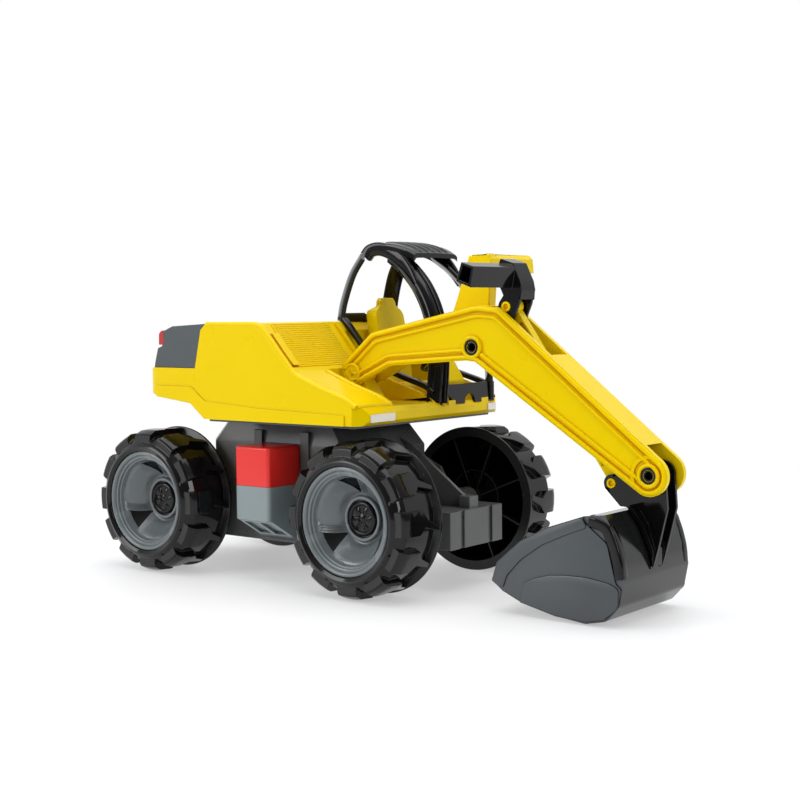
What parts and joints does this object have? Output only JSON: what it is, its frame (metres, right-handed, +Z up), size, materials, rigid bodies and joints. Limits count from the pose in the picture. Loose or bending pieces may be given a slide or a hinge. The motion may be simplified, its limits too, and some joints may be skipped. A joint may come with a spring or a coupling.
{
  "type": "toy wheeled excavator",
  "caption": "Toy wheeled excavator with a slewing body, an open cab, a gooseneck boom with a hand grip, a lever-worked bucket and free-rolling lugged wheels.",
  "frame": {"origin": "centre of the footprint on the ground that the wheels stand on", "axes": "+X forward towards the bucket, +Y to the driver's left, +Z up"},
  "size_m": [0.5986, 0.246, 0.32],
  "materials": {
    "yellow_plastic": "moulded, slightly glossy",
    "chassis_grey": "moulded satin",
    "step_grey": "moulded satin",
    "cap_red": "moulded gloss",
    "cover_grey": "moulded fine texture",
    "rim_grey": "moulded satin",
    "tyre_black": "hard moulded gloss",
    "black_plastic": "moulded gloss",
    "bucket_grey": "moulded satin",
    "light_red": "gloss",
    "light_clear": "gloss",
    "steel": "plain"
  },
  "bodies": {
    "chassis": {"chassis_frame": "chassis_grey", "belly_plate": "chassis_grey", "belly_screws": "steel", "turntable_ring": "chassis_grey", "king_pin": "chassis_grey", "king_pin_clip": "steel", "axle_rod_front": "steel", "axle_rod_rear": "steel", "step_box_right": "step_grey", "step_box_left": "step_grey", "step_cap_right": "cap_red", "step_cap_left": "cap_red"},
    "upper": {"body_shell": "yellow_plastic", "engine_cover": "cover_grey", "tail_light_right": "light_red", "tail_light_left": "light_red", "base_plate": "chassis_grey", "headlight_right": "light_clear", "headlight_left": "light_clear", "boom_post": "yellow_plastic", "driver_seat": "yellow_plastic", "steering_column": "yellow_plastic", "steering_wheel": "black_plastic", "cab_frame": "black_plastic"},
    "boom": {"boom_half_right": "yellow_plastic", "boom_half_left": "yellow_plastic", "boom_grip": "yellow_plastic", "boom_pivot_pin": "yellow_plastic"},
    "lever": {"lever": "black_plastic"},
    "rod": {"push_rod": "yellow_plastic", "rod_top_pin": "yellow_plastic"},
    "bucket": {"bucket_scoop": "bucket_grey", "bucket_bracket": "black_plastic", "bucket_link_pin": "yellow_plastic"},
    "wheel_front_right": {"tyre_front_right": "tyre_black", "rim_front_right": "rim_grey", "hub_cap_front_right": "black_plastic"},
    "wheel_front_left": {"tyre_front_left": "tyre_black", "rim_front_left": "rim_grey", "hub_cap_front_left": "black_plastic"},
    "wheel_rear_right": {"tyre_rear_right": "tyre_black", "rim_rear_right": "rim_grey", "hub_cap_rear_right": "black_plastic"},
    "wheel_rear_left": {"tyre_rear_left": "tyre_black", "rim_rear_left": "rim_grey", "hub_cap_rear_left": "black_plastic"}
  },
  "joints": [
    {"name": "slew", "type": "hinge", "parent": "chassis", "child": "upper", "pos_m": [-0.10135, 0, 0.15], "axis": [0, 0, 1], "continuous": true},
    {"name": "boom_lift", "type": "hinge", "parent": "upper", "child": "boom", "pos_m": [-0.02685, -0.026, 0.1959], "axis": [0, -1, 0], "range_deg": [-8, 40]},
    {"name": "lever_swing", "type": "hinge", "parent": "boom", "child": "lever", "pos_m": [0.10935, -0.026, 0.2211], "axis": [0, -1, 0], "range_deg": [-28, 7]},
    {"name": "rod_swing", "type": "hinge", "parent": "lever", "child": "rod", "pos_m": [0.14215, -0.026, 0.2562], "axis": [0, -1, 0], "range_deg": [-8, 28]},
    {"name": "bucket_curl", "type": "hinge", "parent": "boom", "child": "bucket", "pos_m": [0.28255, -0.026, 0.1189], "axis": [0, -1, 0], "range_deg": [-9, 33]},
    {"name": "wheel_turn_front_right", "type": "hinge", "parent": "chassis", "child": "wheel_front_right", "pos_m": [0.02665, -0.0965, 0.07], "axis": [0, 1, 0], "continuous": true},
    {"name": "wheel_turn_front_left", "type": "hinge", "parent": "chassis", "child": "wheel_front_left", "pos_m": [0.02665, 0.0965, 0.07], "axis": [0, 1, 0], "continuous": true},
    {"name": "wheel_turn_rear_right", "type": "hinge", "parent": "chassis", "child": "wheel_rear_right", "pos_m": [-0.22935, -0.0965, 0.07], "axis": [0, 1, 0], "continuous": true},
    {"name": "wheel_turn_rear_left", "type": "hinge", "parent": "chassis", "child": "wheel_rear_left", "pos_m": [-0.22935, 0.0965, 0.07], "axis": [0, 1, 0], "continuous": true}
  ],
  "couplings": [
    {"joint": "rod_swing", "follows": "lever_swing", "ratio": -0.96},
    {"joint": "bucket_curl", "follows": "lever_swing", "ratio": -1.148}
  ]
}
